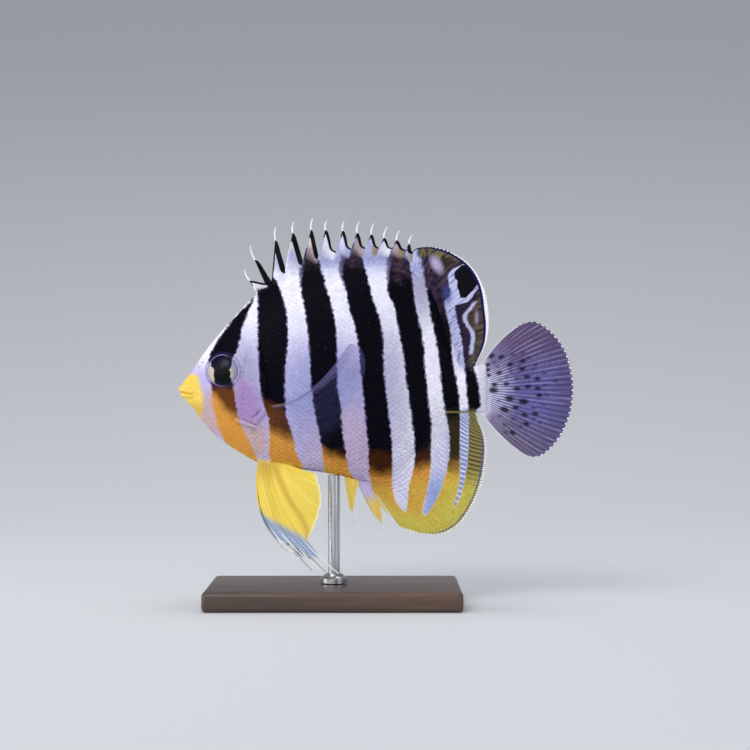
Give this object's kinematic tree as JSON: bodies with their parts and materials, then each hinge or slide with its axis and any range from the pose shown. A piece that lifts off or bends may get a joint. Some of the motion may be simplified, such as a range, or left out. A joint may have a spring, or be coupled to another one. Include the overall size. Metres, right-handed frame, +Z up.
{
  "type": "multibarred angelfish model on a display stand",
  "caption": "Deep, flat sea fish with dark bars, a spined back fin and rayed fins, swimming level on a single rod above a flat base.",
  "frame": {"origin": "centre of the whole object's box, on the floor under the stand's base", "axes": "-X towards the fish's snout, -Y its left side, +Z up"},
  "size_m": [0.1, 0.044, 0.0971],
  "materials": {
    "skin": "pale lavender scales crossed by black bars, orange below",
    "eye": "wet, clear cornea",
    "pale_fin": "pale and black notched web with white threads",
    "olive_fin": "olive and dark rayed web with a black eye spot",
    "yellow_fin": "yellow rayed web",
    "grey_fin": "grey violet rayed web with dark spots",
    "clear_fin": "clear rayed web",
    "base_wood": "dark stained, satin",
    "rod_steel": "satin"
  },
  "bodies": {
    "root": {"head": "skin", "gill_cover_left": "skin", "gill_cover_right": "skin", "trunk": "skin", "tail_stalk": "skin", "eye_left": "eye", "eye_right": "eye", "dorsal_fin_spiny": "pale_fin", "dorsal_fin_soft": "olive_fin", "anal_fin": "yellow_fin", "tail_fin": "grey_fin", "pelvic_fin_left": "yellow_fin", "pelvic_fin_right": "yellow_fin", "pectoral_fin_left": "clear_fin", "pectoral_fin_right": "clear_fin", "stand_base": "base_wood", "stand_rod": "rod_steel", "stand_collar": "rod_steel"}
  },
  "joints": []
}
